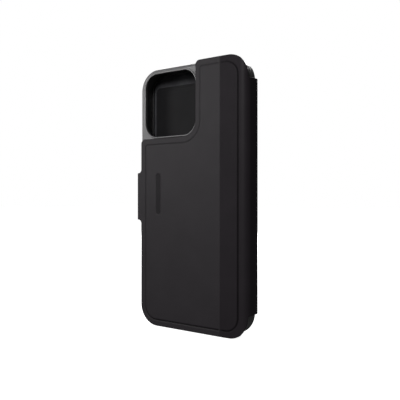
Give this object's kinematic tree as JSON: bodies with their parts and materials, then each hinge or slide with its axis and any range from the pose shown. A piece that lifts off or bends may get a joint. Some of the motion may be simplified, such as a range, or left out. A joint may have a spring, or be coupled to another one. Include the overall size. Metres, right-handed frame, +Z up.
{
  "type": "phone wallet case",
  "caption": "Folio case for a phone: a moulded inner shell in a smooth leather cover with a spine, a stand crease, an open camera corner, card pockets and a magnetic clasp tab.",
  "frame": {"origin": "centre of the face that the phone's back rests on", "axes": "+Z up the phone, -Y out of the front cover, +Y out of the back panel, spine at -X, clasp tab at +X"},
  "size_m": [0.0777, 0.0299, 0.1518],
  "materials": {
    "leather": "smooth matte, fine grain",
    "lining": "short microfibre nap",
    "pocket": "thin smooth matte",
    "board": "pressed fibre board",
    "shell": "smoky grey, satin gloss",
    "shell_frame": "smoky grey, gloss",
    "button": "satin",
    "adhesive": "foam tape",
    "steel": "plain",
    "magnet": "nickel plated"
  },
  "bodies": {
    "shell_and_back": {"shell_plate": "shell", "shell_bumper": "shell_frame", "camera_bezel": "shell_frame", "shell_bond_pad": "adhesive", "back_board": "board", "strip_board": "board", "back_skin": "leather", "back_lining": "lining"},
    "spine": {"spine_skin": "leather", "spine_board": "board", "spine_lining": "lining"},
    "cover": {"cover_skin": "leather", "cover_board": "board", "cover_lining": "lining", "keeper_plate": "steel", "cash_pocket": "pocket", "card_pocket_lower": "pocket", "card_pocket_middle": "pocket", "card_pocket_upper": "pocket"},
    "tab": {"tab_skin": "leather", "tab_stiffener": "board", "tab_lining": "lining"},
    "lip": {"lip_skin": "leather", "lip_stiffener": "board", "lip_lining": "lining", "lip_magnets": "magnet"},
    "power_cap": {"power_button": "button"},
    "volume_up_cap": {"volume_up_button": "button"},
    "volume_down_cap": {"volume_down_button": "button"}
  },
  "joints": [
    {"name": "back_fold", "type": "hinge", "parent": "shell_and_back", "child": "spine", "pos_m": [-0.03723, 0.00178, 0], "axis": [0, 0, -1], "range_deg": [0, 175]},
    {"name": "cover_fold", "type": "hinge", "parent": "spine", "child": "cover", "pos_m": [-0.03767, -0.00962, 0], "axis": [0, 0, -1], "range_deg": [0, 175]},
    {"name": "tab_root_fold", "type": "hinge", "parent": "shell_and_back", "child": "tab", "pos_m": [0.03837, 0.00237, 0], "axis": [0, 0, 1], "range_deg": [0, 110]},
    {"name": "tab_lip_fold", "type": "hinge", "parent": "tab", "child": "lip", "pos_m": [0.03725, -0.01075, 0], "axis": [0, 0, -1], "range_deg": [0, 90]},
    {"name": "power_press", "type": "slide", "parent": "shell_and_back", "child": "power_cap", "axis": [-1, 0, 0], "range_m": [0, 0.0003]},
    {"name": "volume_up_press", "type": "slide", "parent": "shell_and_back", "child": "volume_up_cap", "axis": [1, 0, 0], "range_m": [0, 0.0003]},
    {"name": "volume_down_press", "type": "slide", "parent": "shell_and_back", "child": "volume_down_cap", "axis": [1, 0, 0], "range_m": [0, 0.0003]}
  ]
}
